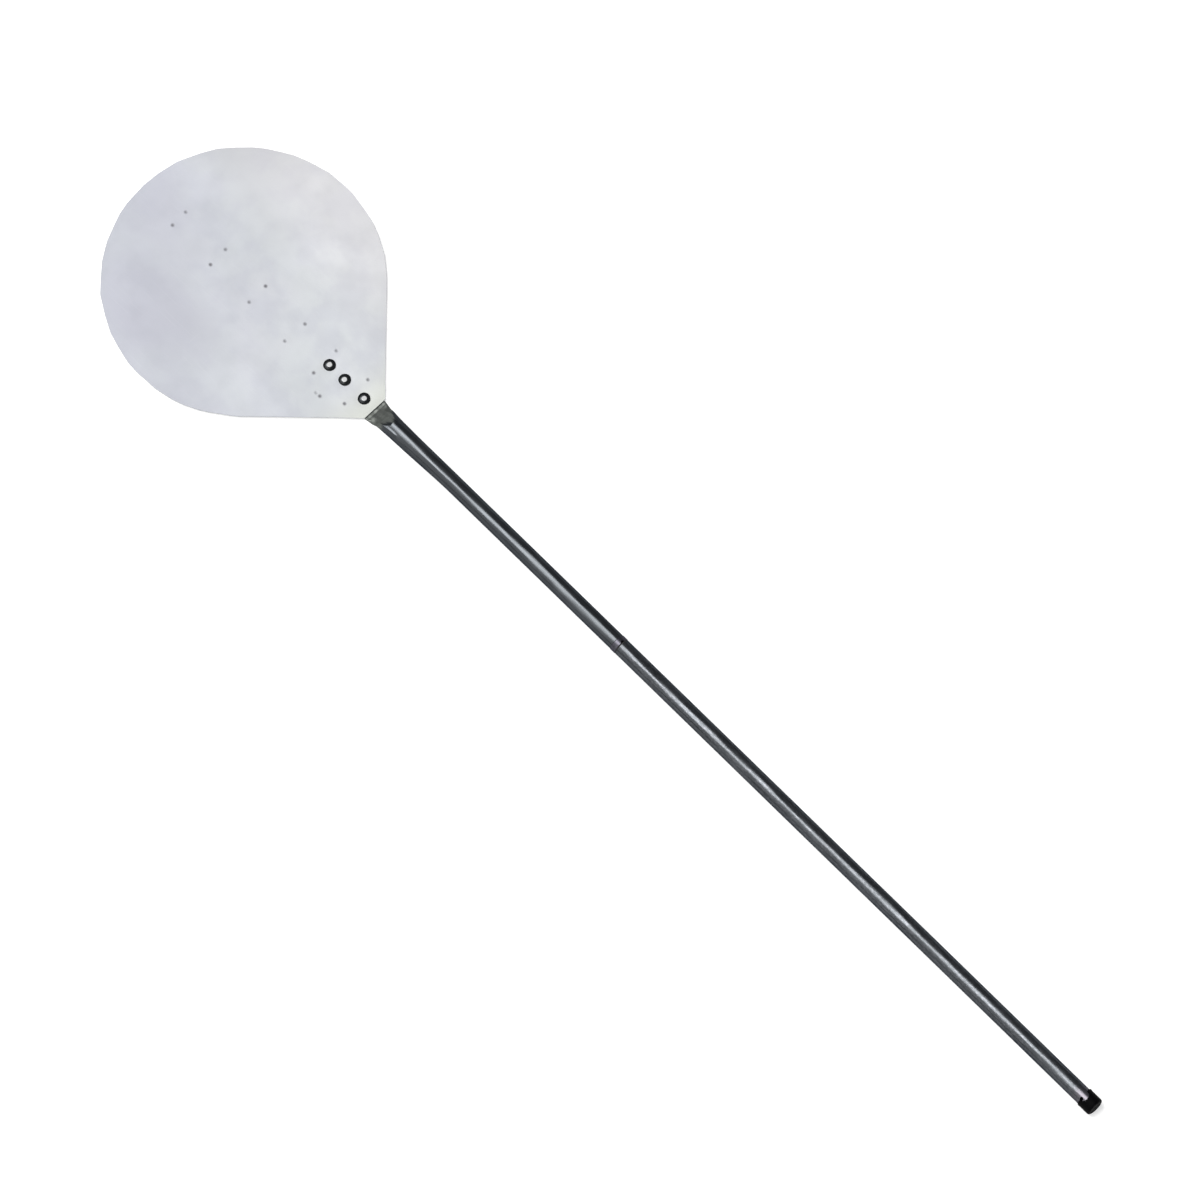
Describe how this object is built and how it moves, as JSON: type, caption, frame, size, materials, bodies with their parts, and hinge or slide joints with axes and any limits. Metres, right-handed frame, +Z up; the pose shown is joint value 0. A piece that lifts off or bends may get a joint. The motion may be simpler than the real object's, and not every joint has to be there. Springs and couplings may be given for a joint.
{
  "type": "pizza peel",
  "caption": "Round thin metal pizza peel with a riveted tube handle in screw-together halves and a black end cap.",
  "frame": {"origin": "on the plane the peel lies on, under the seam between the two handle halves, at the middle of its length", "axes": "+X along the handle from the blade to the end cap, +Y sideways, +Z up from the underside"},
  "size_m": [1.4203, 0.3, 0.0217],
  "materials": {
    "blade_sheet": "light satin stainless sheet",
    "stiffener_sheet": "dull stainless sheet with spot welds",
    "dark_tube": "dark gunmetal, semi-gloss",
    "rivet": "polished dome, dark",
    "joint_metal": "machined collar and thread",
    "washer": "matt black fibre",
    "cap": "matt black moulded"
  },
  "bodies": {
    "head": {"blade": "blade_sheet", "blade_stiffener": "stiffener_sheet", "front_tube": "dark_tube", "neck_rivet_1": "rivet", "neck_rivet_2": "rivet", "neck_rivet_3": "rivet", "joint_socket": "joint_metal"},
    "washer": {"joint_washer": "washer"},
    "rear_handle": {"joint_stud": "joint_metal", "stud_plug": "joint_metal", "rear_tube": "dark_tube", "end_cap": "cap"}
  },
  "joints": [
    {"name": "joint_draw", "type": "slide", "parent": "head", "child": "washer", "axis": [1, 0, 0], "range_m": [0, 0.0151]},
    {"name": "handle_unscrew", "type": "hinge", "parent": "washer", "child": "rear_handle", "pos_m": [0, 0, 0.011], "axis": [1, 0, 0], "range_deg": [0, 3600]}
  ],
  "couplings": [
    {"joint": "joint_draw", "follows": "handle_unscrew", "m_per_rad": 0.00023873}
  ]
}
